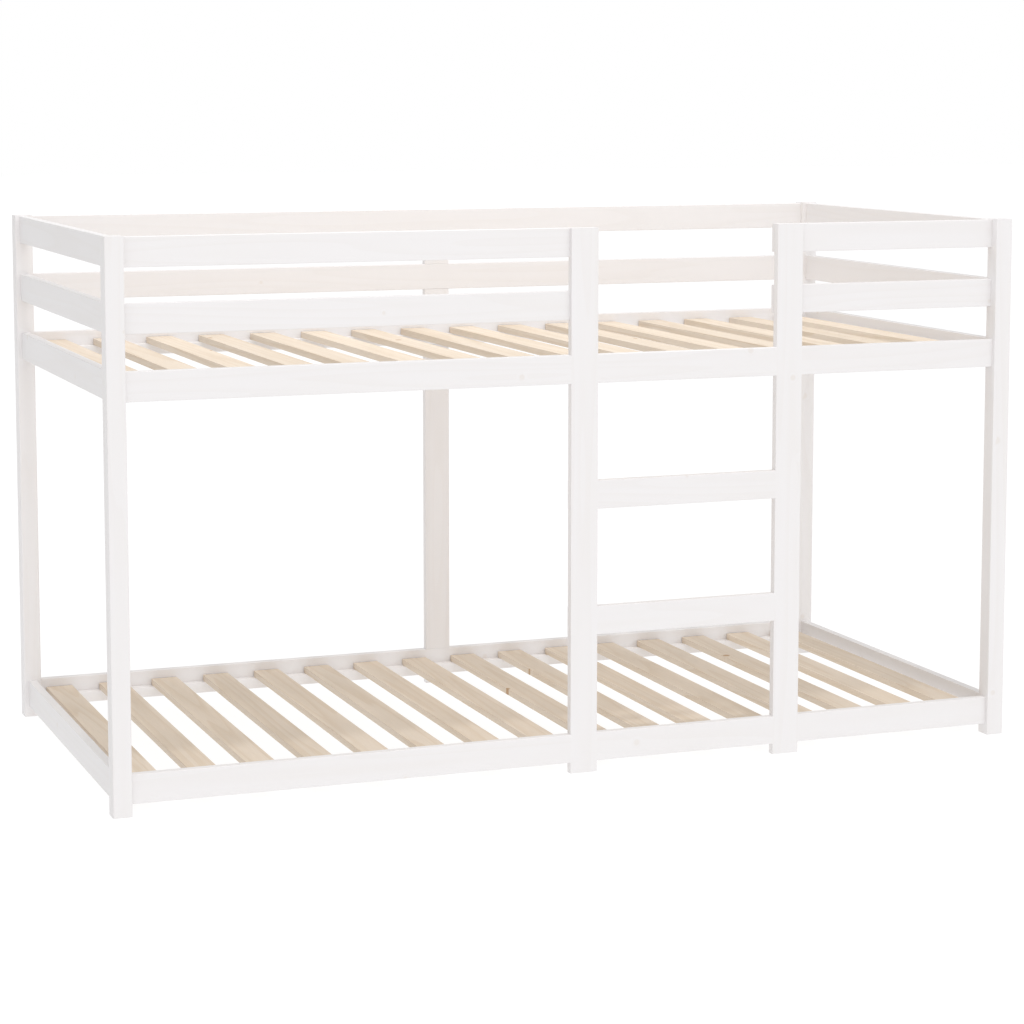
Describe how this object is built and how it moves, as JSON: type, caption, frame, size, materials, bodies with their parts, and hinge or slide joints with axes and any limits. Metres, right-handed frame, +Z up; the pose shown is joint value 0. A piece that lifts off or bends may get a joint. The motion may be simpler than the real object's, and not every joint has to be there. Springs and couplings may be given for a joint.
{
  "type": "bunk bed",
  "caption": "Low bunk bed: white painted pine posts, side and end rails, guard rails and a fixed upright ladder, with natural wood slats on both decks.",
  "frame": {"origin": "on the floor, under the middle of the bed's plan", "axes": "+X along the bed's length, towards the end by the ladder; +Y to the rear, away from the ladder; +Z up"},
  "size_m": [2.07, 1, 1.182],
  "materials": {
    "painted_pine": "planed pine under a thin white satin paint, faint knots and grain",
    "slat_wood": "planed natural pine, unvarnished",
    "dowel_beech": "turned beech, unfinished",
    "zinc_steel": "bright zinc-plated steel",
    "white_plastic": "moulded white polyethylene, satin"
  },
  "bodies": {
    "root": {"post_front_left": "painted_pine", "post_front_right": "painted_pine", "post_rear_left": "painted_pine", "post_rear_right": "painted_pine", "ladder_upright_left": "painted_pine", "ladder_upright_right": "painted_pine", "rear_upright": "painted_pine", "side_rail_front_lower": "painted_pine", "side_rail_front_upper": "painted_pine", "side_rail_rear_lower": "painted_pine", "side_rail_rear_upper": "painted_pine", "guard_rail_front_left_low": "painted_pine", "guard_rail_front_left_top": "painted_pine", "guard_rail_front_right_low": "painted_pine", "guard_rail_front_right_top": "painted_pine", "guard_rail_rear_low": "painted_pine", "guard_rail_rear_top": "painted_pine", "end_rail_left_lower": "painted_pine", "end_rail_left_upper": "painted_pine", "end_rail_right_lower": "painted_pine", "end_rail_right_upper": "painted_pine", "end_guard_left_low": "painted_pine", "end_guard_left_top": "painted_pine", "end_guard_right_low": "painted_pine", "end_guard_right_top": "painted_pine", "rung_lower": "painted_pine", "rung_upper": "painted_pine", "ledger_front_lower": "painted_pine", "ledger_front_upper": "painted_pine", "ledger_rear_lower": "painted_pine", "ledger_rear_upper": "painted_pine", "slats_lower_01_02": "slat_wood", "slats_lower_03_04": "slat_wood", "slats_lower_05_06": "slat_wood", "slats_lower_07_08": "slat_wood", "slats_lower_09_10": "slat_wood", "slats_lower_11_12": "slat_wood", "slats_lower_13_14": "slat_wood", "slats_lower_15_16": "slat_wood", "slats_upper_01_02": "slat_wood", "slats_upper_03_04": "slat_wood", "slats_upper_05_06": "slat_wood", "slats_upper_07_08": "slat_wood", "slats_upper_09_10": "slat_wood", "slats_upper_11_12": "slat_wood", "slats_upper_13_14": "slat_wood", "slats_upper_15_16": "slat_wood", "end_frame_dowels": "dowel_beech", "side_rail_dowels": "dowel_beech", "rung_dowels": "dowel_beech", "connecting_bolts": "zinc_steel", "barrel_nuts": "zinc_steel", "lap_screws": "zinc_steel", "guard_screws": "zinc_steel", "ledger_screws": "zinc_steel", "bolt_caps": "white_plastic"}
  },
  "joints": []
}
